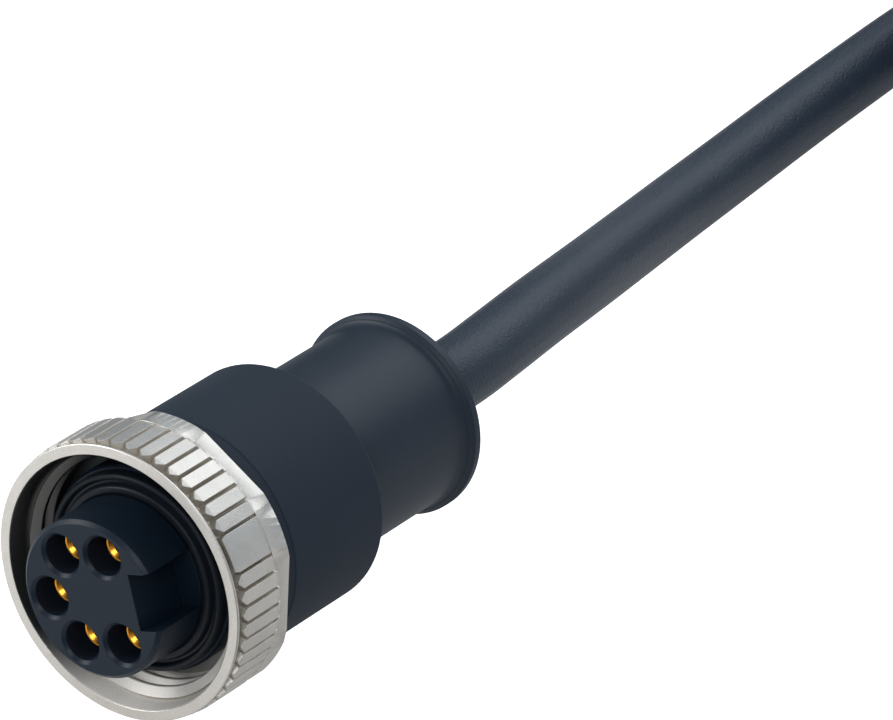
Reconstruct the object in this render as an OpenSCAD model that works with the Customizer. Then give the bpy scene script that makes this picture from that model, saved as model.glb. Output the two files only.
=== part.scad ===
// Moulded female cable connector with five contacts, a keyed insert and a knurled coupling nut
// for a 7/8 inch, 16 threads per inch coupling, on a two metre lead with stripped ends.
// The connector lies along Y with its mating face towards -Y, and stands on its nut at z = 0.
// Lengths are millimetres. A depth is measured from the insert's face, towards the cable.

/* [Insert] */
// Radius of the insert that enters the mating shell
insert_r = 7.2; // [7:0.1:7.3]
// Radius of the circle that the contacts stand on
contact_circle_r = 4.55; // [4.4:0.05:4.6]
// Radius of the hole in front of each contact
contact_hole_r = 1.75; // [1.75:0.05:1.85]
// Width of the polarising keyway
keyway_w = 5.1; // [4.6:0.1:5.2]
// Distance from the axis to the floor of the keyway
keyway_floor = 4.7; // [4.6:0.1:5]
// Angle of the keyway from +X towards +Z
keyway_angle = 14; // [0:1:30]

/* [Contacts] */
// Depth of the mouth of each contact below the face
contact_depth = 2.5; // [2:0.1:3]
// Outer radius of a contact
contact_r = 1.68; // [1.5:0.01:1.7]
// Radius of the bore that takes a 2 mm pin
contact_bore_r = 1.02; // [1:0.01:1.05]
// Depth of the bore in a contact
contact_bore_len = 8; // [6:0.5:9]

/* [Coupling nut] */
// Depth of the nut's front face
nut_front = 3.65; // [3.6:0.05:4]
// Length of the nut
nut_len = 7.85; // [7.8:0.05:7.95]
// Radius of the plain ring at the nut's mouth
nut_ring_r = 12.35; // [12.2:0.05:12.5]
// Radius of the smooth entry
nut_entry_r = 11.55; // [11.5:0.05:11.6]
// Major radius of the 7/8 inch thread
nut_thread_r = 11.1; // [11.1:0.05:11.2]
// Radius of the hole in the rear lip that holds the nut on the carrier
nut_lip_r = 8.6; // [8.6:0.05:8.7]
// Distance across the flats of the rear hexagon
nut_flats = 23.9; // [23.8:0.1:24.2]
// Radius of the turned corners of the hexagon, and of the tops of the teeth
nut_corner_r = 12.8; // [12.7:0.1:13]
// Angle of the marked corner from +X towards +Z
nut_angle = 27; // [20:1:35]
// Depth of the grooves between the teeth
tooth_depth = 0.6; // [0.4:0.05:0.6]
// Teeth in each half turn, between the two smooth corners
teeth_per_half = 26; // [20:1:28]
// Angle that each smooth corner takes
smooth_angle = 16; // [14:1:18]

/* [Grip] */
// Radius of the front of the grip
grip_front_r = 11.1; // [11:0.1:11.4]
// Depth of the step between the two grip sections
grip_step = 26.35; // [25:0.05:28]
// Radius of the rear of the grip
grip_rear_r = 8.65; // [8.4:0.05:8.9]
// Radius of the flange at the rear of the grip
flange_r = 9.4; // [9.2:0.1:9.8]
// Length of the connector from the insert's face to the cable exit
body_len = 44.8; // [44.8:0.2:48]

/* [Cable] */
// Diameter of the cable
cable_d = 6.8; // [6.8:0.1:7]
// Diameter of one insulated core
core_d = 1.9; // [1.8:0.1:2]
// Diameter of the copper in one core
copper_d = 1.1; // [1:0.1:1.2]
// Length of the straight runs of the hank that the cable is folded into
hank_run = 42; // [36:1:48]

/* [Hidden] */
$fn = 96;

axis_z = nut_corner_r;
face_y = -body_len / 2;
cable_r = cable_d / 2;
contacts = [for (i = [1:5]) keyway_angle + 60 * i];
// Clearance between pieces that are moulded round or seated in each other
seat = 0.02;

// The seal's groove in the insert
groove_r = insert_r - 0.2;
// Depths along the carrier
groove_front = 5.7;
seal_front = 5.75;
flange_front = 6.9;
flange_rear = 9;
carrier_len = 19;
carrier_flange_r = 9.4;
carrier_neck_r = 8.45;
carrier_rear_r = 8;
// Depths along a contact
barrel_front = 19.8;
barrel_end = 23;
barrel_r = 1.15;
// Depths inside the grip
grip_front = nut_front + nut_len + 0.3;
mould_end = 36;
mould_r = 7.4;
jacket_end = 33;
// Depth of the end of the copper's straight stretch, and the circle of the cores in the cable
bend_depth = 23.6;
bundle_r = 2.2;

// Parts of the nut, measured from its front face
ring_len = 0.8;
neck_end = 1.1;
teeth_end = 5.45;
tooth_top_r = nut_corner_r - 0.03;
tooth_root_r = nut_corner_r - tooth_depth;
tooth_pitch = (180 - smooth_angle) / teeth_per_half;
tooth_top_half = 0.32 * tooth_pitch;
tooth_root_half = 0.45 * tooth_pitch;

// The cable from inside the grip to the hank: out straight, down to the floor, then along it
lead_route = [
    [0, 10.6, 12.8], [0, 22.4, 12.8], [0, 31, 12.8], [-0.8, 38, 12.6], [-2.3, 46, 11.9],
    [-4.2, 54, 10.7], [-6.5, 62, 9.1], [-9, 70, 7.4], [-11.3, 78, 5.8], [-13.2, 86, 4.6],
    [-14.6, 94, 3.7], [-15.7, 102, 3.4], [-16.7, 113, 3.4], [-17.6, 124, 3.4], [-18.3, 135, 3.4],
    [-18.7, 146, 3.4], [-18.7, 155, 3.4], [-18.7, 164, 3.4]
];
// The cable from the top of the hank, down to the floor and to its stripped end
tail_route = [
    [35.7, 164, 23.8], [35.7, 158, 23.4], [35.6, 151, 21.6], [35.3, 144, 18.1], [34.8, 137, 13.2],
    [34.1, 130, 8.5], [33.2, 124, 5.4], [32.2, 118, 3.8], [31.4, 113, 3.4], [30.6, 108, 3.4]
];
tail_end = tail_route[len(tail_route) - 1];
// The near and far ends of the hank turn about these points
hank_near = [8.5, 164];
hank_far = hank_near + [0, hank_run];
// The tightest fold has a radius of three cable diameters
hank_inner_r = 3 * cable_d - cable_r;
hank_columns = 2;
hank_layers = 4;
hank_outer_r = hank_inner_r + hank_columns * cable_d;
hank_h = hank_layers * cable_d;
tie_y = hank_near[1] + hank_run / 2;
tie_w = 8;
tie_t = 0.6;
tie_sink = 0.5;
// Where the five stripped cores come to rest, across and along the floor from the cable's end
core_fan = [[-8, -21], [-4, -23], [0.5, -24], [4.5, -23], [8, -21]];
copper_len = 6;

// Stands a piece that was drawn along +Z on the connector's axis, at a depth
module along(depth) {
    translate([0, face_y + depth, axis_z]) rotate([-90, 0, 0]) children();
}

// A point in a piece's own drawing, at an angle from +X towards +Z
function polar(r, a) = [r * cos(a), -r * sin(a)];

// A point on a quarter or other arc in a profile
function arc(cx, cy, r, from, to, steps) =
    [for (i = [0:steps]) let (a = from + (to - from) * i / steps) [cx + r * cos(a), cy + r * sin(a)]];

// A round rod between two points
module rod(p, q, r) {
    d = q - p;
    translate(p)
        rotate([0, acos(d[2] / norm(d)), atan2(d[1], d[0])])
            cylinder(h = norm(d), r = r, $fn = 32);
}

// ---- Coupling nut ----

function tooth(a) = [
    polar(tooth_root_r, a - tooth_root_half),
    polar(tooth_top_r, a - tooth_top_half),
    polar(tooth_top_r, a + tooth_top_half),
    polar(tooth_root_r, a + tooth_root_half)
];

// The first angle of each half's teeth, past the smooth corner
function half_start(half) = nut_angle + 180 * half + smooth_angle / 2;

tooth_outline = [
    for (half = [0:1], i = [0:teeth_per_half - 1])
        each tooth(half_start(half) + (i + 0.5) * tooth_pitch)
];

// The corner arc that carries no teeth
module smooth_corner(a) {
    reach = 2 * nut_corner_r;
    intersection() {
        translate([0, 0, 0.5]) cylinder(h = teeth_end + 0.5, r = nut_corner_r - 0.06);
        linear_extrude(height = nut_len)
            polygon([[0, 0], polar(reach, a - smooth_angle / 2), polar(reach, a + smooth_angle / 2)]);
    }
}

// A solid of revolution that slopes the front ends of the teeth
module tooth_envelope() {
    rotate_extrude()
        polygon([
            [0, neck_end - 0.12], [11.6, neck_end - 0.12], [nut_corner_r - 0.1, neck_end + 0.75],
            [nut_corner_r + 0.1, neck_end + 1.1], [nut_corner_r + 0.1, nut_len], [0, nut_len]
        ]);
}

module knurl() {
    intersection() {
        union() {
            linear_extrude(height = teeth_end + 0.2) polygon(tooth_outline);
            smooth_corner(nut_angle);
            smooth_corner(nut_angle + 180);
        }
        tooth_envelope();
    }
}

module rear_hexagon() {
    intersection() {
        translate([0, 0, teeth_end])
            rotate([0, 0, -nut_angle])
                cylinder(h = nut_len - teeth_end, r = nut_flats / 2 / cos(30), $fn = 6);
        rotate_extrude()
            polygon([
                [0, 0], [nut_corner_r, 0], [nut_corner_r, nut_len - 0.35],
                [nut_corner_r - 0.35, nut_len], [0, nut_len]
            ]);
    }
}

module coupling_nut() {
    thread_start = 2.7;
    thread_end = 5.75;
    color("lightgray") along(nut_front) difference() {
        union() {
            rotate_extrude()
                polygon([
                    [0, 0], [nut_ring_r - 0.12, 0], [nut_ring_r, 0.12], [nut_ring_r, ring_len - 0.1],
                    [nut_ring_r - 0.35, ring_len], [11.75, ring_len + 0.05], [11.75, teeth_end],
                    [0, teeth_end]
                ]);
            knurl();
            rear_hexagon();
        }
        rotate_extrude()
            polygon([
                [0, -1], [nut_entry_r + 0.25, -1], [nut_entry_r + 0.25, 0], [nut_entry_r, 0.25],
                [nut_entry_r, thread_start], [nut_thread_r, thread_start + 0.45],
                [nut_thread_r, thread_end], [nut_lip_r, thread_end], [nut_lip_r, nut_len - 0.2],
                [nut_lip_r + 0.2, nut_len], [nut_lip_r + 0.2, nut_len + 1], [0, nut_len + 1]
            ]);
    }
}

// ---- Insert, seal and contacts ----

module contact_carrier() {
    color("#31353d") along(0) difference() {
        rotate_extrude()
            polygon([
                [0, 0], [insert_r - 0.35, 0], [insert_r, 0.35], [insert_r, groove_front],
                [groove_r, groove_front], [groove_r, flange_front],
                [carrier_flange_r - 0.2, flange_front], [carrier_flange_r, flange_front + 0.2],
                [carrier_flange_r, flange_rear], [carrier_neck_r, flange_rear],
                [carrier_neck_r, grip_front], [carrier_rear_r, grip_front],
                [carrier_rear_r, 13.5], [carrier_rear_r - 0.6, 13.7], [carrier_rear_r - 0.6, 14.7],
                [carrier_rear_r, 14.9], [carrier_rear_r, 16.1], [carrier_rear_r - 0.6, 16.3],
                [carrier_rear_r - 0.6, 17.3], [carrier_rear_r, 17.5], [carrier_rear_r, carrier_len],
                [0, carrier_len]
            ]);
        rotate([0, 0, -keyway_angle])
            translate([keyway_floor, -keyway_w / 2, -1])
                cube([insert_r, keyway_w, groove_front + 1.2]);
        for (a = contacts) translate(polar(contact_circle_r, a)) contact_cavity();
    }
}

// The hole that a contact sits in, with its chamfered mouth
module contact_cavity() {
    rotate_extrude()
        polygon([
            [0, -1], [contact_hole_r + 0.3, -1], [contact_hole_r + 0.3, 0], [contact_hole_r, 0.3],
            [contact_hole_r, 9.5], [contact_hole_r + 0.15, 9.5], [contact_hole_r + 0.15, 11],
            [contact_hole_r, 11], [contact_hole_r, carrier_len + 1], [0, carrier_len + 1]
        ]);
}

// A ring in the insert's groove with a rounded outer lip, a channel and an inner lip
module face_seal() {
    inner = groove_r + seat;
    lip = insert_r + 0.47;
    back = flange_front - seat;
    color("#24272d") along(0) rotate_extrude()
        polygon(concat(
            [[inner, back], [inner, seal_front + 0.2], [lip - 0.25, seal_front]],
            arc(lip, seal_front + 0.3, 0.3, -90, 0, 4),
            [[8.1, seal_front + 0.6], [8.3, seal_front + 0.6]],
            arc(8.7, seal_front + 0.4, 0.3, -180, 0, 8),
            [[9, back]]
        ));
}

module contact(index) {
    tip = 0.25;
    bore_end = contact_depth + contact_bore_len;
    color("goldenrod") along(0) translate(polar(contact_circle_r, contacts[index]))
        rotate_extrude()
            polygon([
                [0, bore_end + 0.5], [contact_bore_r, bore_end],
                [contact_bore_r, contact_depth + 0.35], [contact_bore_r + 0.3, contact_depth + 0.05],
                [contact_r - tip, contact_depth], [contact_r, contact_depth + tip],
                [contact_r, 9.55], [contact_hole_r + 0.13, 9.55], [contact_hole_r + 0.13, 10.95],
                [contact_r, 10.95], [contact_r, 18.4], [barrel_r, 19], [barrel_r, barrel_end],
                [copper_d / 2, barrel_end], [copper_d / 2, barrel_front],
                [0, barrel_front]
            ]);
}

// ---- Wires inside the grip ----

// Where core i passes a depth: parallel to the axis at the contact, then in to the cable
function core_bend(i) = concat(polar(contact_circle_r, contacts[i]), bend_depth);
function core_end(i) = concat(polar(bundle_r, contacts[i]), jacket_end - 0.3);

// The strands are pressed a little thinner inside the barrel
module conductor(i) {
    pressed = 0.9;
    color("peru") along(0) union() {
        translate(concat(polar(contact_circle_r, contacts[i]), barrel_front + seat))
            cylinder(h = bend_depth - barrel_front + 0.2, r = pressed * copper_d / 2, $fn = 32);
        rod(core_bend(i), core_end(i), copper_d / 2);
    }
}

// The share of the way from the bend to the cable where the insulation starts
core_start = 0.08;

module core(i) {
    start = core_bend(i) + core_start * (core_end(i) - core_bend(i));
    color(core_colour(i)) along(0) difference() {
        rod(start, core_end(i), core_d / 2);
        rod(core_bend(i), core_end(i) + 0.1 * (core_end(i) - core_bend(i)), copper_d / 2 + seat);
    }
}

function core_colour(i) = ["saddlebrown", "whitesmoke", "royalblue", "#202020", "gray"][i];

// The pre-mould: a plate round the barrels and a shell round the cores, closed on the jacket
module inner_mould() {
    plate_end = 21;
    room = 6;
    color("#3a3d44") along(0) difference() {
        rotate_extrude()
            polygon([
                [0, carrier_len + seat], [mould_r - 0.4, carrier_len + seat],
                [mould_r, carrier_len + 0.6], [mould_r, 29], [5.2, 33.6], [5.2, mould_end],
                [cable_r + seat, mould_end], [cable_r + seat, jacket_end - seat],
                [room, 24.5], [room, plate_end], [0, plate_end]
            ]);
        for (a = contacts)
            translate(concat(polar(contact_circle_r, a), carrier_len - 1))
                cylinder(h = 4, r = barrel_r + 0.05, $fn = 32);
    }
}

// ---- Grip ----

// Fine parting line near the front of the grip
line_depth = 13.75;

module grip_body() {
    rear = grip_rear_r;
    fillet = 0.8;
    color("#2b2f36") along(0) difference() {
        rotate_extrude()
            polygon(concat(
                [[0, grip_front], [grip_front_r - 0.75, grip_front], [grip_front_r - 0.2, 12.5]],
                [[grip_front_r - 0.08, line_depth - 0.1], [grip_front_r - 0.08, line_depth]],
                [[grip_front_r, line_depth + 0.08]],
                arc(grip_front_r - 0.25, grip_step - 0.25, 0.25, 0, 90, 4),
                [[rear + 0.3, grip_step]],
                arc(rear + 0.3, grip_step + 0.3, 0.3, 270, 180, 4),
                arc(rear + fillet, 42.2 - fillet, fillet, 180, 118, 6),
                [[flange_r - 0.3, 42.2], [flange_r, 42.5], [flange_r, 43.1]],
                arc(flange_r - 0.3, 43.1, 0.3, 0, 75, 3),
                [[6.4, 44.15], [4.6, 44.3], [4.3, body_len], [0, body_len]]
            ));
        grip_cavity();
    }
}

// The space in the grip that the carrier, the pre-mould and the cable fill
module grip_cavity() {
    s = seat;
    r = carrier_rear_r;
    rotate_extrude()
        polygon([
            [0, grip_front - 1], [r + s, grip_front - 1], [r + s, 13.5], [r + s - 0.6, 13.7 + s],
            [r + s - 0.6, 14.7 - s], [r + s, 14.9], [r + s, 16.1], [r + s - 0.6, 16.3 + s],
            [r + s - 0.6, 17.3 - s], [r + s, 17.5], [r + s, carrier_len + s],
            [mould_r + s, carrier_len + s], [mould_r + s, 29], [5.2 + s, 33.6],
            [5.2 + s, mould_end + s], [cable_r + s, mould_end + s],
            [cable_r + s, body_len + 1], [0, body_len + 1]
        ]);
}

// ---- Cable ----

function unit(v) = v / norm(v);
function heading(p, i) = unit(p[min(i + 1, len(p) - 1)] - p[max(i - 1, 0)]);
// A ring of points round a route's own point, square to the route
function ring(p, i, r, sides) =
    let (
        t = heading(p, i),
        side = unit(cross(t, [0, 0, 1])),
        up = cross(side, t)
    )
    [for (k = [0:sides - 1]) p[i] + r * (cos(360 * (k + 0.5) / sides) * side + sin(360 * (k + 0.5) / sides) * up)];

module tube(p, r, sides) {
    n = len(p);
    points = [for (i = [0:n - 1]) each ring(p, i, r, sides)];
    walls = [
        for (i = [0:n - 2], k = [0:sides - 1])
            let (a = i * sides + k, b = i * sides + (k + 1) % sides)
            each [[a, b, b + sides], [a, b + sides, a + sides]]
    ];
    caps = [
        [for (k = [sides - 1:-1:0]) k],
        [for (k = [0:sides - 1]) (n - 1) * sides + k]
    ];
    polyhedron(points = points, faces = concat(walls, caps), convexity = 4);
}

module cable_lead() {
    color("#33373f") tube(lead_route, cable_r, 10);
}

module cable_tail() {
    color("#33373f") tube(tail_route, cable_r, 10);
}

// The outline of a fold of the hank: two straight sides and a round end at each centre
module fold_outline(r) {
    translate(hank_near) circle(r = r);
    translate(hank_far) circle(r = r);
    translate(hank_near - [r, 0]) square([2 * r, hank_run]);
}

// The outer shape of the folded cable, with a shallow seat for the tie underneath
module cable_hank() {
    color("#33373f") difference() {
        linear_extrude(height = hank_h) difference() {
            fold_outline(hank_outer_r);
            fold_outline(hank_inner_r);
        }
        translate([hank_near[0], tie_y - tie_w / 2 - seat, -1])
            cube([2 * hank_outer_r, tie_w + 2 * seat, 1 + tie_sink]);
    }
}

// A hook and loop strap round the run that the cable's end leaves from
module hank_tie() {
    inner = hank_near[0] + hank_inner_r - 0.1;
    outer = hank_near[0] + hank_outer_r + 0.1;
    top = hank_h + 0.05;
    color("#1d1f23") difference() {
        translate([inner - tie_t, tie_y - tie_w / 2, 0])
            cube([outer - inner + 2 * tie_t, tie_w, top + tie_t]);
        translate([inner, tie_y - tie_w, tie_sink - 0.05])
            cube([outer - inner, 2 * tie_w, top - tie_sink + 0.05]);
    }
}

// ---- Stripped end ----

// The ends of core i: in the jacket's end face, and on the floor
core_exit_angle = [198, 126, 270, 54, 342];
function tail_from(i) =
    let (
        t = heading(tail_route, len(tail_route) - 1),
        side = unit(cross([0, 0, 1], t)),
        a = core_exit_angle[i]
    )
    tail_end + bundle_r * (cos(a) * side + sin(a) * [0, 0, 1]) + 0.36 * t;
function tail_to(i) = [tail_end[0] + core_fan[i][0], tail_end[1] + core_fan[i][1], 1.5];

module tail_core(i) {
    from = tail_from(i);
    color(core_colour(i)) difference() {
        rod(from, tail_to(i), core_d / 2);
        rod(from - 0.2 * (tail_to(i) - from), tail_to(i) + 0.2 * (tail_to(i) - from), copper_d / 2 + seat);
    }
}

module tail_copper(i) {
    from = tail_from(i);
    d = unit(tail_to(i) - from);
    color("peru") rod(from + 0.3 * d, tail_to(i) + copper_len * d, copper_d / 2);
}

coupling_nut();
contact_carrier();
face_seal();
for (i = [0:4]) {
    contact(i);
    conductor(i);
    core(i);
    tail_core(i);
    tail_copper(i);
}
inner_mould();
grip_body();
cable_lead();
cable_hank();
cable_tail();
hank_tie();
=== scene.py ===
# %% [markdown]
# # A cable connector, dressed for its portrait
# The frame holds a moulded five-contact cable connector: a nickel-plated coupling nut on a keyed
# plastic insert, a soft grip moulded over the wires, and two metres of folded cable. The CAD
# pieces already have their true size and place. This lesson gives each one its finish, models
# what CAD leaves plain, and sets up a camera and soft light.

# %% Load the frame
import math

import bpy
from mathutils import Matrix, Vector


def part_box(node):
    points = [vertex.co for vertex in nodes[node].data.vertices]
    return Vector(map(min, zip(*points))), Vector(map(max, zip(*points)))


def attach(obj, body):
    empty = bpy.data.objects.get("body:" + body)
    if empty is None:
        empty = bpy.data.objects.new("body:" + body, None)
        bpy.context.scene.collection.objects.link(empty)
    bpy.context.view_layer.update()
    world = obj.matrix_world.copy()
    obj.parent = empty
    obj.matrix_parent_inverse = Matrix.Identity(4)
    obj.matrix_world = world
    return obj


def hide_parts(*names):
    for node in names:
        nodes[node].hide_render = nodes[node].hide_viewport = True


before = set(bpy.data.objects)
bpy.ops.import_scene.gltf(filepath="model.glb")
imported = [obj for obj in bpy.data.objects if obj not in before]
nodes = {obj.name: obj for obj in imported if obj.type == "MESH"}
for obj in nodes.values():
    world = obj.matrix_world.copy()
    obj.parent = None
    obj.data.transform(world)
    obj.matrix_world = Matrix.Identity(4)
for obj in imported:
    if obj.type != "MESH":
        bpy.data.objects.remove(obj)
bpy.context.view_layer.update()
scene = bpy.context.scene
MM = 0.001

# %% [markdown]
# The connector lies along Y. Its own measures are depths from the insert's face towards the cable,
# and angles round the axis from +X towards +Z, so two small helpers turn those into places.

# %% Places on the connector
FACE_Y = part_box("contact_carrier")[0].y
seal_low, seal_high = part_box("face_seal")
AXIS_Z = (seal_low.z + seal_high.z) / 2
MERGE = 0.001 * MM


def at_depth(depth_mm):
    """The Y of a depth below the insert's face."""
    return FACE_Y + depth_mm * MM


def round_axis(radius_mm, degrees, depth_mm):
    """A point at a radius and an angle from the axis, at a depth."""
    turn = math.radians(degrees)
    radius = radius_mm * MM
    return Vector(
        (radius * math.cos(turn), at_depth(depth_mm), AXIS_Z + radius * math.sin(turn))
    )


# %% [markdown]
# ## Camera
# A connector is 45 mm long, and a long lens from over half a metre away keeps its rings nearly
# true ellipses. The camera turns 35 degrees to the connector's right and looks 26 degrees down.
# Its place is worked out from the insert's face: so far back along the line of sight, and then
# aside and up, which is what sets the nut low in the left half of the frame.

# %% The camera
AZIMUTH = math.radians(35.3)
ELEVATION = math.radians(26.0)
BACK_OFF = 583.9 * MM
ASIDE = 29.65 * MM
ABOVE = 20.05 * MM
FOCAL_LENGTH = 282.2

towards_camera = Vector(
    (
        math.sin(AZIMUTH) * math.cos(ELEVATION),
        -math.cos(AZIMUTH) * math.cos(ELEVATION),
        math.sin(ELEVATION),
    )
)
camera_right = Vector((math.cos(AZIMUTH), math.sin(AZIMUTH), 0))
camera_up = towards_camera.cross(camera_right)
lens = bpy.data.cameras.new("portrait_lens")
lens.lens = FOCAL_LENGTH
lens.clip_start = 0.01
camera = bpy.data.objects.new("portrait_camera", lens)
scene.collection.objects.link(camera)
face_centre = Vector((0, FACE_Y, AXIS_Z))
camera.location = (
    face_centre + BACK_OFF * towards_camera + ASIDE * camera_right + ABOVE * camera_up
)
camera.rotation_euler = towards_camera.to_track_quat("Z", "Y").to_euler()
scene.camera = camera
print("camera at", [round(c / MM, 1) for c in camera.location], "mm")

# %% [markdown]
# ## Cable
# The cable is one 6.8 mm jacket, two metres long. It leaves the grip straight, sinks to the floor
# under its own weight, and runs along it to a hank: eight folds, two side by side and four high.
# Each fold is two straight runs and two round ends. At the near end every pass climbs or steps
# into the next fold's place, and the last ones do so first, so that no pass runs into another.

# %% The route
CABLE_D = 6.8 * MM
LEAD = [
    (0, 10.6, 12.8), (0, 22.4, 12.8), (0, 31, 12.8), (-0.8, 38, 12.6), (-2.3, 46, 11.9),
    (-4.2, 54, 10.7), (-6.5, 62, 9.1), (-8.9, 70, 7.45), (-11.15, 78, 5.95), (-13.1, 86, 4.75),
    (-14.6, 94, 3.95), (-15.75, 102, 3.5), (-16.8, 113, 3.4), (-17.6, 124, 3.4), (-18.3, 135, 3.4),
    (-18.7, 146, 3.4), (-18.7, 155, 3.4),
]
TAIL = [
    (35.7, 164, 23.8), (35.7, 158, 23.4), (35.6, 151, 21.6), (35.3, 144, 18.1), (34.8, 137, 13.2),
    (34.1, 130, 8.5), (33.2, 124, 5.4), (32.2, 118, 3.8), (31.4, 113, 3.4), (30.6, 108, 3.4),
]
HANK_X = 8.5
HANK_NEAR = 164
HANK_FAR = 206
HANK_OUTER = 27.2
HANK_FOLDS = 8
POINTS_PER_LEG = (3, 8, 3, 10)
MOVE_START = 0.56
MOVE_EARLIER = 0.0865
MOVE_SHARE = 0.4


def fold_place(fold):
    """The column, 0 outside and 1 inside, and the layer of a fold."""
    layer = fold // 2
    return Vector(((fold + layer) % 2, layer))


def fold_point(fold, leg, share):
    """A point of a fold: legs 0 and 2 are its left and right runs, 1 and 3 its round ends."""
    place = fold_place(fold)
    if leg == 3:
        moved = (share - MOVE_START + MOVE_EARLIER * fold) / MOVE_SHARE
        moved = min(max(moved, 0), 1)
        place = place.lerp(fold_place(fold + 1), (1 - math.cos(math.pi * moved)) / 2)
    radius = HANK_OUTER - place.x * CABLE_D / MM
    height = (place.y + 0.5) * CABLE_D / MM
    run = share * (HANK_FAR - HANK_NEAR)
    if leg == 0:
        return (HANK_X - radius, HANK_NEAR + run, height)
    if leg == 2:
        return (HANK_X + radius, HANK_FAR - run, height)
    turn = math.pi * (1 - share if leg == 1 else -share)
    end = HANK_FAR if leg == 1 else HANK_NEAR
    return (HANK_X + radius * math.cos(turn), end + radius * math.sin(turn), height)


hank = [
    fold_point(fold, leg, step / steps)
    for fold in range(HANK_FOLDS)
    for leg, steps in enumerate(POINTS_PER_LEG)
    for step in range(steps)
    if (fold, leg) != (HANK_FOLDS - 1, 3)
]
route = [Vector(p) * MM for p in LEAD + hank + TAIL]
print(len(route), "points,", round(sum((b - a).length for a, b in zip(route, route[1:])), 3), "m")

# %% A curve along the route
def select_only(*shapes):
    """Selects these objects, and makes the first one active."""
    bpy.ops.object.select_all(action="DESELECT")
    for shape in shapes:
        shape.select_set(True)
    bpy.context.view_layer.objects.active = shapes[0]


def tube_along(points, radius, name, sides=4):
    """A round tube along points, as a Bezier curve with smooth handles.

    Each point carries the radius, over a bevel of one metre, because the box that Blender gives
    for a curve is made from its points' radii.
    """
    curve = bpy.data.curves.new(name, "CURVE")
    curve.dimensions = "3D"
    spline = curve.splines.new("BEZIER")
    spline.bezier_points.add(len(points) - 1)
    for knot, point in zip(spline.bezier_points, points):
        knot.co = point
        knot.radius = radius
        knot.handle_left_type = "AUTO"
        knot.handle_right_type = "AUTO"
    spline.resolution_u = 5
    curve.bevel_depth = 1.0
    curve.bevel_resolution = sides
    curve.use_fill_caps = True
    tube = bpy.data.objects.new(name, curve)
    scene.collection.objects.link(tube)
    return tube


cable = tube_along(route, CABLE_D / 2, "cable", sides=6)
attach(cable, "connector")
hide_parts("cable_lead", "cable_hank", "cable_tail")

# %% [markdown]
# A hook-and-loop strap holds the hank together: a cube whose long edges are rounded to the cables'
# corners, opened at both ends and given a wall, with the strap's end lying over the top.

# %% The strap
TIE_LOW = Vector((24.8, 181, 0))
TIE_HIGH = Vector((39.8, 189, 27.85))
TIE_CORNER = 3.9
STRAP = 0.6
FLAP_LOW = Vector((28.8, 181, 27.85))
FLAP_HIGH = Vector((35.8, 189, 28.35))
STRAP_EDGE = 0.15


def block(name, low, high):
    """A box between two corners, in millimetres."""
    bpy.ops.object.select_all(action="DESELECT")
    bpy.ops.mesh.primitive_cube_add(size=1, location=(low + high) / 2 * MM)
    shape = bpy.context.object
    shape.name = name
    shape.scale = (high - low) * MM
    bpy.ops.object.transform_apply(location=True, rotation=True, scale=True)
    return shape


def pick(shape, kind, test):
    """Selects the active shape's points, edges or faces that pass a test, in edit mode."""
    bpy.ops.object.mode_set(mode="EDIT")
    bpy.ops.mesh.select_mode(type=kind)
    bpy.ops.mesh.select_all(action="DESELECT")
    bpy.ops.object.mode_set(mode="OBJECT")
    parts = {"VERT": "vertices", "EDGE": "edges", "FACE": "polygons"}
    for part in getattr(shape.data, parts[kind]):
        part.select = test(part)
    bpy.ops.object.mode_set(mode="EDIT")


def runs_along_y(edge):
    """Whether one of the strap's edges runs along Y, as the cables in it do."""
    first, last = (tie.data.vertices[v].co for v in edge.vertices)
    return abs(first.y - last.y) > MM


tie = block("hank_strap", TIE_LOW, TIE_HIGH)
pick(tie, "EDGE", runs_along_y)
bpy.ops.mesh.bevel(offset=TIE_CORNER * MM, segments=8)
pick(tie, "FACE", lambda face: abs(face.normal.y) > 0.9)
bpy.ops.mesh.delete(type="ONLY_FACE")
bpy.ops.object.mode_set(mode="OBJECT")
wall = tie.modifiers.new("wall", "SOLIDIFY")
wall.thickness = STRAP * MM
bpy.ops.object.modifier_apply(modifier="wall")
flap = block("strap_end", FLAP_LOW, FLAP_HIGH)
for shape in (tie, flap):
    rounding = shape.modifiers.new("rounding", "BEVEL")
    rounding.width = STRAP_EDGE * MM
    rounding.segments = 2
select_only(tie, flap)
bpy.ops.object.convert(target="MESH")
bpy.ops.object.join()
bpy.ops.object.shade_smooth_by_angle(angle=math.radians(30))
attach(tie, "connector")
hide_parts("hank_tie")
print("strap:", len(tie.data.polygons), "faces")

# %% [markdown]
# The cable's far end is stripped. Five cores leave it in a bundle, bend apart, and come to rest on
# the floor as a fan. Each one ends in seven twisted copper strands that spread a little.

# %% The stripped end
CORE_FAN = ((-8, -21), (-4, -23), (0.5, -24), (4.5, -23), (8, -21))
CORE_ANGLES = (198, 126, 270, 54, 342)
CORE_NAMES = ("brown", "white", "blue", "black", "grey")
BUNDLE_R = 2.0
CORE_R = 0.95
CORE_BEND = 0.55
FAN_HEIGHT = 1.5
COPPER_LENGTH = 6
STRANDS = 7
STRAND_R = 0.18
STRAND_STEPS = 6
STRAND_TWIST = 150
STRAND_SPREAD = 0.25
STRAND_HIDDEN = 0.4
UP = Vector((0, 0, 1))

cable_end = Vector(TAIL[-1])
leaving = (cable_end - Vector(TAIL[-2])).normalized()
across = UP.cross(leaving).normalized()


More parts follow.
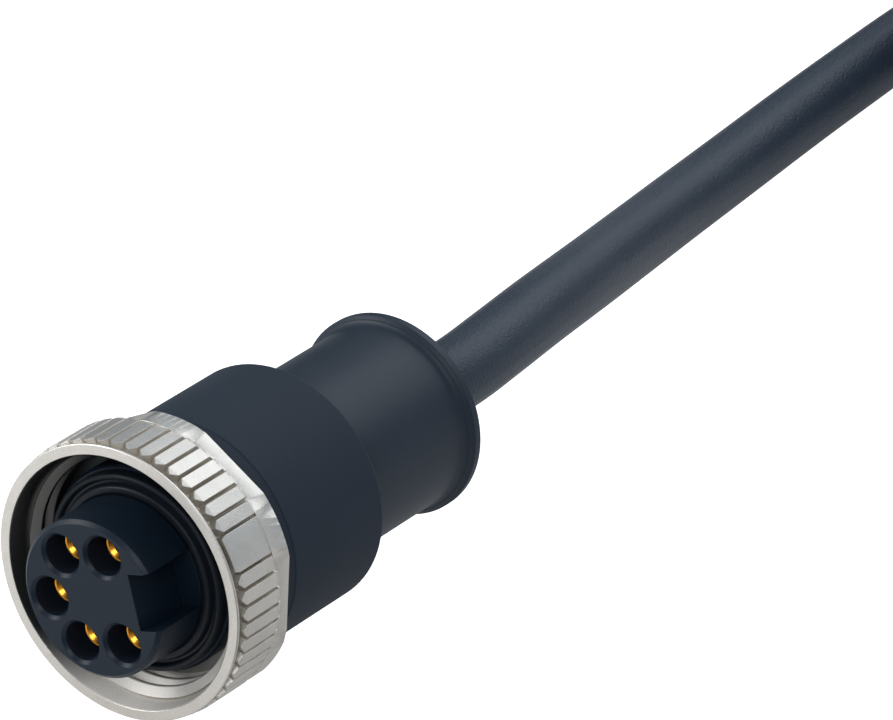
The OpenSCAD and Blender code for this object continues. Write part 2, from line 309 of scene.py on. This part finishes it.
def strand_line(tip, heading, strand):
    """The points of one strand from inside the insulation to the end of the copper."""
    sideways = heading.cross(UP).normalized()
    points = []
    for step in range(STRAND_STEPS + 1):
        share = step / STRAND_STEPS
        turn = math.radians(60 * strand + STRAND_TWIST * share)
        spread = 0 if strand == STRANDS - 1 else 2 * STRAND_R + STRAND_SPREAD * share * share
        middle = tip + heading * (COPPER_LENGTH * share - STRAND_HIDDEN * (1 - share))
        offset = math.cos(turn) * sideways + math.sin(turn) * heading.cross(sideways)
        points.append((middle + spread * offset) * MM)
    return points


core_ends = []
copper_ends = []
for i, ((aside, ahead), angle) in enumerate(zip(CORE_FAN, CORE_ANGLES)):
    turn = math.radians(angle)
    start = cable_end + BUNDLE_R * (math.cos(turn) * across + math.sin(turn) * UP)
    tip = Vector((cable_end.x + aside, cable_end.y + ahead, FAN_HEIGHT))
    line = [start - leaving, start + 3 * leaving, start.lerp(tip, CORE_BEND), tip]
    core_ends.append(tube_along([p * MM for p in line], CORE_R * MM, f"core_end_{i + 1}"))
    strands = [
        tube_along(strand_line(tip, (tip - start).normalized(), k), STRAND_R * MM, "strand", 2)
        for k in range(STRANDS)
    ]
    select_only(*strands)
    bpy.ops.object.convert(target="MESH")
    bpy.ops.object.join()
    copper_ends.append(bpy.context.object)
    copper_ends[i].name = f"copper_end_{i + 1}"
    for piece, node, finish in (
        (core_ends[i], f"tail_core_{i + 1}", f"{CORE_NAMES[i]}_core"),
        (copper_ends[i], f"tail_copper_{i + 1}", "bare_copper"),
    ):
        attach(piece, "connector")
        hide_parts(node)

print("cable's pieces:", 1 + len(core_ends) + len(copper_ends))

# %% [markdown]
# ## Shader maths
# A material's pattern is arithmetic on surface values: a mask here, one minus a mask there. Wiring
# Math nodes by hand hides that arithmetic. One small class wraps a socket, so that a Python
# expression on it builds the nodes.

# %% One class for sockets
class Field:
    """A value that varies over a surface. Operators on it add Math nodes."""

    def __init__(self, tree, socket):
        self.tree = tree
        self.socket = socket

    def make(self, kind, settings=None, inputs=None, output=0):
        """Adds a node, applies its settings, then gives its inputs values or links."""
        node = self.tree.nodes.new(kind)
        for name, value in (settings or {}).items():
            setattr(node, name, value)
        for name, value in (inputs or {}).items():
            if isinstance(value, Field):
                self.tree.links.new(value.socket, node.inputs[name])
            else:
                node.inputs[name].default_value = value
        return Field(self.tree, node.outputs[output]) if node.outputs else None

    def math(self, operation, first, second=0.0):
        return self.make("ShaderNodeMath", {"operation": operation}, {0: first, 1: second})

    def __add__(self, other):
        return self.math("ADD", self, other)

    def __radd__(self, other):
        return self.math("ADD", other, self)

    def __sub__(self, other):
        return self.math("SUBTRACT", self, other)

    def __rsub__(self, other):
        return self.math("SUBTRACT", other, self)

    def __mul__(self, other):
        return self.math("MULTIPLY", self, other)

    def __rmul__(self, other):
        return self.math("MULTIPLY", other, self)

    def __lt__(self, other):
        return self.math("LESS_THAN", self, other)


# %% Common patterns
def new_material(name):
    """An empty material and its surface position, in metres."""
    material = bpy.data.materials.new(name)
    material.use_nodes = True
    tree = material.node_tree
    tree.nodes.clear()
    place = Field(tree, tree.nodes.new("ShaderNodeTexCoord").outputs["Object"])
    return material, place


def noise(place, size_mm, detail=2.0):
    """Cloudy noise whose blobs are about so many millimetres across."""
    inputs = {"Vector": place, "Scale": 1 / (size_mm * MM), "Detail": detail}
    return place.make("ShaderNodeTexNoise", None, inputs)


def between(place, factor, first, second):
    """A colour between two, by a factor."""
    first, second = (c if isinstance(c, Field) else (*c, 1) for c in (first, second))
    inputs = {"Factor": factor, 6: first, 7: second}
    return place.make("ShaderNodeMix", {"data_type": "RGBA"}, inputs, output=2)


def soft_edges(place, radius_mm):
    """A normal that turns smoothly over the edges, as if they had that radius."""
    return place.make("ShaderNodeBevel", {"samples": 6}, {"Radius": radius_mm * MM})


def bumps(place, height, depth_mm, edge_mm=0.0):
    """A bumpy normal from a height field, so many millimetres deep, on edges of that radius."""
    inputs = {"Distance": depth_mm * MM, "Height": height}
    if edge_mm:
        inputs["Normal"] = soft_edges(place, edge_mm)
    return place.make("ShaderNodeBump", None, inputs)


def along(place, axis, first_mm, last_mm):
    """0 before the first place on an axis, 1 past the last, and a steady change between them."""
    part = place.make("ShaderNodeSeparateXYZ", None, {0: place}, output="XYZ".index(axis))
    return place.make(
        "ShaderNodeMapRange", {"clamp": True},
        {"Value": part, "From Min": first_mm * MM, "From Max": last_mm * MM},
    )


def surface(place, **values):
    """Ends a material with its shader. Names are the shader's sockets, with _ for a space."""
    inputs = {name.replace("_", " "): value for name, value in values.items()}
    shader = place.make("ShaderNodeBsdfPrincipled", None, inputs)
    place.make("ShaderNodeOutputMaterial", None, {"Surface": shader})


# %% [markdown]
# ## Nickel
# The nut is brass with a satin nickel plate. Plated metal keeps the fine grain of the tumbled
# blank, so its reflections are soft and slightly speckled: fine noise in roughness and a shallow
# bump do that, and the colour is a warm light grey. The bore is smoother. Its colour also carries
# painted shade, darkest on the thread's crests. Its lower right is left out of that shade and made
# matt, as a painted pool of light. The painted shade and light go by the place on the nut, with
# masks from the distance to the axis. They stand in for what the bore would mirror in a real
# studio, which this plain one doesn't have, so they turn with the nut.

# %% Nickel plate
BORE_R = 11.62
CREST_R = 10.42
# Strength and colour of the painted shade in the bore and on the thread's crests.
BORE_SHADE = 0.85
CREST_SHADE = 0.6
SHADE_COLOUR = (0.03, 0.035, 0.035)


def nickel():
    """Satin nickel, grained outside, with painted shade in the bore and painted light at its lower
    right.
    """
    material, place = new_material("satin_nickel")
    grain = noise(place, 0.13, 3)
    cloud = noise(place, 1.6)
    x = place.make("ShaderNodeSeparateXYZ", None, {0: place}, output=0)
    z = place.make("ShaderNodeSeparateXYZ", None, {0: place}, output=2) - AXIS_Z
    reach = x * x + z * z
    bore = reach < (BORE_R * MM) ** 2
    crest = reach < (CREST_R * MM) ** 2
    # Painted light: a mask for the bore's lower right, which loses the painted shade.
    painted_light_mask = place.make(
        "ShaderNodeMapRange", {"clamp": True},
        {"Value": 0.5 * x - 0.87 * z, "From Min": 1.5 * MM, "From Max": 8 * MM},
    )
    # Painted shade: the bore darkened except at its lower right, and the crests darker still.
    shade = BORE_SHADE * bore * (1 - painted_light_mask) + CREST_SHADE * crest
    plate = between(place, 0.3 * cloud + 0.7 * grain, (0.58, 0.535, 0.475), (0.95, 0.9, 0.835))
    surface(
        place,
        Base_Color=between(place, shade, plate, SHADE_COLOUR),
        # Painted light: the bore's lower right is less metallic, so it shows as a light matt
        # patch.
        Metallic=1 - 0.9 * bore * painted_light_mask,
        Roughness=0.33 + 0.18 * grain - 0.08 * bore,
        Normal=bumps(place, grain * (1 - 0.9 * bore), 0.03, edge_mm=0.07),
    )
    return material


NICKEL = nickel()

# %% [markdown]
# ## Plastics
# The insert, the grip and the jacket are three dark slate plastics. They differ in how the mould
# or die leaves them: the insert is smooth satin, the grip has a very fine even grain, and the
# jacket a coarser pebble that catches the light as faint speckle.

# %% Dark plastics
GRIP_STEP = (3.6, 4.2)


def slate(name, dark, light, roughness, grain_mm, grain_depth_mm, specular=0.4, edge_mm=0.0):
    """Dark plastic with a grain in its surface and a slow change of tone."""
    material, place = new_material(name)
    grain = noise(place, grain_mm, 3)
    cloud = noise(place, 5)
    surface(
        place,
        Base_Color=between(place, cloud, dark, light),
        Roughness=roughness - 0.06 + 0.12 * grain,
        Specular_IOR_Level=specular,
        Normal=bumps(place, grain, grain_depth_mm, edge_mm),
    )
    return material


def grip_overmould():
    """The grip's plastic: its front section is more matt than the satin rear."""
    material, place = new_material("grip_overmould")
    grain = noise(place, 0.14, 3)
    rear = along(place, "Y", *GRIP_STEP)
    surface(
        place,
        Base_Color=between(place, noise(place, 5), (0.0145, 0.0235, 0.037), (0.019, 0.029, 0.046)),
        Roughness=0.64 - 0.24 * rear + 0.1 * grain,
        Specular_IOR_Level=0.34,
        Normal=bumps(place, grain, 0.012, edge_mm=0.12),
    )
    return material


INSERT = slate(
    "insert_plastic", (0.006, 0.013, 0.024), (0.008, 0.016, 0.028), 0.38, 0.12, 0.004, 0.25, 0.1
)
GRIP = grip_overmould()
JACKET = slate("cable_jacket", (0.021, 0.032, 0.050), (0.031, 0.045, 0.068), 0.42, 0.3, 0.09)
SEAL = slate("seal_rubber", (0.007, 0.010, 0.015), (0.009, 0.013, 0.019), 0.42, 0.3, 0.006, 0.25)
PRE_MOULD = slate("pre_mould", (0.03, 0.034, 0.04), (0.036, 0.04, 0.046), 0.55, 0.2, 0.01)
TIE = slate("tie_strap", (0.008, 0.008, 0.010), (0.014, 0.014, 0.017), 0.85, 0.25, 0.09)

# %% Metals of the wires and contacts
def plain_metal(name, first, second, roughness, grain_mm):
    """A polished or drawn metal with a little change of tone."""
    material, place = new_material(name)
    grain = noise(place, grain_mm)
    surface(
        place,
        Base_Color=between(place, grain, first, second),
        Metallic=1.0,
        Roughness=roughness + 0.1 * grain,
    )
    return material


GOLD = plain_metal("gold_plate", (1.0, 0.36, 0.03), (1.0, 0.46, 0.06), 0.2, 0.8)
COPPER = plain_metal("bare_copper", (0.78, 0.36, 0.20), (0.88, 0.47, 0.29), 0.25, 0.3)

# %% Core insulation
CORE_COLOURS = {
    "brown": (0.12, 0.045, 0.018),
    "white": (0.74, 0.73, 0.70),
    "blue": (0.03, 0.12, 0.42),
    "black": (0.012, 0.012, 0.013),
    "grey": (0.26, 0.27, 0.28),
}
CORES = [
    slate(f"{name}_core", colour, tuple(1.12 * c for c in colour), 0.38, 0.5, 0.004)
    for name, colour in CORE_COLOURS.items()
]
print(len(bpy.data.materials), "materials")

# %% [markdown]
# ## Coupling nut
# The nut is what catches the eye, so its front half is modelled again, and only its rear hexagon
# comes from the CAD mesh. Every new shape on it starts as an outline: a circle with as many
# corners as the outline has, each moved to its own place. The ring at the mouth, the undercut
# behind it and the smooth entry are one outline, spun round the axis.

# %% An outline through places
def drawn(name, places, fill="NGON"):
    """A closed outline through places."""
    bpy.ops.object.select_all(action="DESELECT")
    bpy.ops.mesh.primitive_circle_add(vertices=len(places), radius=MM, fill_type=fill)
    shape = bpy.context.object
    shape.name = name
    for corner, place in zip(shape.data.vertices, places):
        corner.co = place
    return shape


# %% Ring, undercut and entry
NUT_FRONT = 3.65
NUT_PROFILE = (
    (0.12, 11.52), (0, 11.66), (0, 12.5), (0.06, 12.58), (0.22, 12.58), (0.3, 12.4),
    (0.4, 11.75), (1.1, 11.75), (1.15, 12.0), (4.3, 12.05), (5.46, 12.5), (5.46, 11.1),
    (2.35, 11.1), (1.95, 11.5),
)
RING_STEPS = 192

nut_front = drawn(
    "nut", [round_axis(radius, 0, NUT_FRONT + depth) for depth, radius in NUT_PROFILE], "NOTHING"
)
bpy.ops.object.mode_set(mode="EDIT")
bpy.ops.mesh.select_all(action="SELECT")
bpy.ops.mesh.spin(steps=RING_STEPS, angle=2 * math.pi, center=(0, 0, AXIS_Z), axis=(0, 1, 0))
bpy.ops.mesh.select_all(action="SELECT")
bpy.ops.mesh.remove_doubles(threshold=MERGE)
bpy.ops.object.mode_set(mode="OBJECT")
print("ring:", len(nut_front.data.polygons), "faces")

# %% [markdown]
# The knurl is 48 straight teeth and two smooth corners. Each kind is modelled once, at the top of
# the nut, from four outlines that are bridged: a narrow, lower tip behind the ring, full size a
# little further on, the same where the grooves start to run out, and the hexagon's front, where
# the foot is raised. Both ends are filled. Copies are turned to their places.

# %% Teeth and corners
TEETH_PER_HALF = 24
SMOOTH_ANGLE = 16
TOOTH_PITCH = (180 - SMOOTH_ANGLE) / TEETH_PER_HALF
TIP_AT, FULL_AT, RUN_OUT_AT, HEXAGON_AT = 0.68, 1.15, 4.3, 5.46
TIP_DROP = 0.08
FOOT_R = 11.95
RAISED_FOOT_R = 12.45


def tooth_shape(name, top, foot_half, top_half, steps, tip_share):
    """A tooth at the nut's top: its height, its half angles, steps along its top, and its tip."""

    def outline(depth, height, share=1.0, foot=FOOT_R):
        """The foot's one corner, the top's, and the foot's other, at a depth of the nut."""
        tops = [(height, share * top_half * (2 * k / steps - 1)) for k in range(steps + 1)]
        corners = [(foot, -share * foot_half), *tops, (foot, share * foot_half)]
        places = [round_axis(radius, 90 + angle, NUT_FRONT + depth) for radius, angle in corners]
        return drawn(name, places, "NOTHING")

    select_only(
        outline(TIP_AT, top - TIP_DROP, tip_share),
        outline(FULL_AT, top),
        outline(RUN_OUT_AT, top),
        outline(HEXAGON_AT, top, foot=RAISED_FOOT_R),
    )
    bpy.ops.object.join()
    bpy.ops.object.mode_set(mode="EDIT")
    bpy.ops.mesh.select_all(action="SELECT")
    bpy.ops.mesh.bridge_edge_loops()
    bpy.ops.mesh.select_all(action="SELECT")
    bpy.ops.mesh.fill_holes(sides=0)
    bpy.ops.object.mode_set(mode="OBJECT")
    return bpy.context.object


tooth = tooth_shape("tooth", 12.77, 0.5 * TOOTH_PITCH, 0.38 * TOOTH_PITCH, 1, 0.12)
smooth = tooth_shape("smooth_corner", 12.74, 0.5 * SMOOTH_ANGLE, 0.47 * SMOOTH_ANGLE, 16, 0.9)
print("faces of a tooth and a corner:", len(tooth.data.polygons), len(smooth.data.polygons))

# %% Copies round the nut
NUT_ANGLE = 27


def turned_to(shape, degrees):
    """A copy with its own mesh, turned from the nut's top to an angle."""
    copy = shape.copy()
    copy.data = shape.data.copy()
    scene.collection.objects.link(copy)
    axis = Matrix.Translation((0, 0, AXIS_Z))
    turn = Matrix.Rotation(math.radians(90 - degrees), 4, "Y")
    copy.data.transform(axis @ turn @ axis.inverted())
    return copy


knurl = []
for half in (0, 180):
    corner = NUT_ANGLE + half
    knurl.append(turned_to(smooth, corner))
    for i in range(TEETH_PER_HALF):
        knurl.append(turned_to(tooth, corner + SMOOTH_ANGLE / 2 + (i + 0.5) * TOOTH_PITCH))
for pattern in (tooth, smooth):
    bpy.data.objects.remove(pattern)
print("knurl:", len(knurl), "pieces")

# %% [markdown]
# The CAD nut's copy is loose triangles, so its points are merged before it is cut through in front
# of the hexagon. The bisect also fills the cut. Then the parts are joined, and the normals are
# worked out again, because spinning and bridging can leave faces that point inwards.

# %% The hexagon, from the CAD nut
HEXAGON_CUT = 5.44

rear = nodes["coupling_nut"].copy()
rear.data = rear.data.copy()
scene.collection.objects.link(rear)
rear.parent = None
rear.matrix_world = nodes["coupling_nut"].matrix_world
select_only(rear)
bpy.ops.object.transform_apply(location=True, rotation=True, scale=True)
bpy.ops.object.mode_set(mode="EDIT")
bpy.ops.mesh.select_all(action="SELECT")
bpy.ops.mesh.remove_doubles(threshold=MERGE)
bpy.ops.mesh.bisect(
    plane_co=(0, at_depth(NUT_FRONT + HEXAGON_CUT), 0), plane_no=(0, 1, 0),
    clear_inner=True, use_fill=True,
)
bpy.ops.object.mode_set(mode="OBJECT")
select_only(nut_front, rear, *knurl)
bpy.ops.object.join()
nut = bpy.context.object
bpy.ops.object.mode_set(mode="EDIT")
bpy.ops.mesh.select_all(action="SELECT")
bpy.ops.mesh.normals_make_consistent(inside=False)
bpy.ops.object.mode_set(mode="OBJECT")
bpy.ops.object.shade_smooth_by_angle(angle=math.radians(25))
nut.data.materials.clear()
nut.data.materials.append(NICKEL)
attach(nut, "nut")
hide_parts("coupling_nut")
print("nut:", len(nut.data.polygons), "faces")

# %% [markdown]
# ## Thread
# The nut is bored to the thread's major diameter. One ridge's section, with a narrow flat for its
# crest, is wound round the nut's axis by the Screw modifier, a 16th of an inch further in at each
# turn.

# %% Ridges in the nut
PITCH = 25.4 / 16
RIDGE = ((-0.74, 11.2), (-0.13, 10.35), (0.13, 10.35), (0.74, 11.2))
THREAD_TURNS = 3
THREAD_START = 2.2

thread = drawn("nut_thread", [(radius * MM, depth * MM, 0) for depth, radius in RIDGE])
screw = thread.modifiers.new("turns", "SCREW")
screw.axis = "Y"
screw.iterations = THREAD_TURNS
screw.steps = 96
screw.screw_offset = PITCH * MM
bpy.ops.object.modifier_apply(modifier="turns")
bpy.ops.object.shade_smooth_by_angle(angle=math.radians(30))
thread.location = (0, at_depth(NUT_FRONT + THREAD_START), AXIS_Z)
select_only(thread)
bpy.ops.object.transform_apply(location=True, rotation=True, scale=True)
thread.data.materials.append(NICKEL)
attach(thread, "nut")
print("thread:", len(thread.data.polygons), "faces")

# %% [markdown]
# ## Dressing the CAD nodes
# A CAD node whose shape is right keeps its mesh. Only its material slot changes.

# %% Assign the finishes
def dress(node, material):
    """Gives a CAD node a finish."""
    nodes[node].data.materials.clear()
    nodes[node].data.materials.append(material)


dress("contact_carrier", INSERT)
dress("face_seal", SEAL)
dress("inner_mould", PRE_MOULD)
dress("grip_body", GRIP)
for i in range(5):
    dress(f"contact_{i + 1}", GOLD)
    dress(f"conductor_{i + 1}", COPPER)
    copper_ends[i].data.materials.append(COPPER)
    dress(f"core_{i + 1}", CORES[i])
    core_ends[i].data.materials.append(CORES[i])
cable.data.materials.append(JACKET)
tie.data.materials.append(TIE)

# %% [markdown]
# ## Studio
# A small product for a catalogue is shot on a white sweep that burns out to plain white. To the
# camera the sweep is white. In reflections it is a calmer grey, a little darker behind the nut
# and nearly black to its front right. A large soft box behind and above lays a broad sheen along
# the grip, and two smaller ones fill from the front left and from near the camera. A black card
# behind on the left, which the camera doesn't see, darkens the nut's upper edge, and a pale blue
# room does the rest.

# %% Floor
bpy.ops.object.select_all(action="DESELECT")
bpy.ops.mesh.primitive_plane_add(size=4)
floor = bpy.context.object
floor.name = "floor"
floor_material, floor_place = new_material("white_sweep")
seen = floor_place.make("ShaderNodeLightPath")
behind = along(floor_place, "Y", -30, 0)
front_right = along(floor_place, "X", 6, 20) * (1 - behind)
dim = 0.35 * behind + 0.9 * front_right
surface(
    floor_place,
    Base_Color=between(floor_place, dim, (0.6, 0.6, 0.6), (0.1, 0.1, 0.1)),
    Roughness=0.9,
    Specular_IOR_Level=0.0,
    Emission_Color=between(
        floor_place, seen, between(floor_place, dim, (0.4, 0.4, 0.4), (0, 0, 0)), (1.2, 1.2, 1.2)
    ),
    Emission_Strength=1.0,
)
floor.data.materials.append(floor_material)

# %% Black card
bpy.ops.mesh.primitive_plane_add(size=0.3)
card = bpy.context.object
card.name = "black_card"
card.location = (-0.36, 0.36, 0.02)
card.rotation_euler = (math.pi / 2, 0, math.radians(45))
card_material, card_place = new_material("black_card")
surface(card_place, Base_Color=(0.01, 0.01, 0.01, 1), Roughness=0.9)
card.data.materials.append(card_material)
card.visible_camera = False

# %% Soft boxes and world
def soft_box(name, direction, distance, size, watts, tint=(1, 1, 1)):
    """A square area light at a distance, aimed at the connector."""
    lamp = bpy.data.lights.new(name, "AREA")
    lamp.size = size
    lamp.energy = watts
    lamp.color = tint
    box = bpy.data.objects.new(name, lamp)
    scene.collection.objects.link(box)
    away = Vector(direction).normalized()
    box.location = Vector((0, 0, AXIS_Z)) + distance * away
    box.rotation_euler = away.to_track_quat("Z", "Y").to_euler()
    return box


soft_box("back_box", (0.12, 0.74, 0.65), 0.6, 0.48, 1.05, (0.9, 0.95, 1.0))
soft_box("front_box", (-0.75, -0.5, 0.5), 0.6, 0.3, 1.6)
soft_box("lens_box", (0.4, -0.75, 0.55), 0.6, 0.2, 0.6)
world = bpy.data.worlds.new("pale_room")
world.use_nodes = True
world.node_tree.nodes["Background"].inputs["Color"].default_value = (0.78, 0.89, 1.0, 1)
world.node_tree.nodes["Background"].inputs["Strength"].default_value = 0.45
scene.world = world
scene.view_settings.view_transform = "Standard"
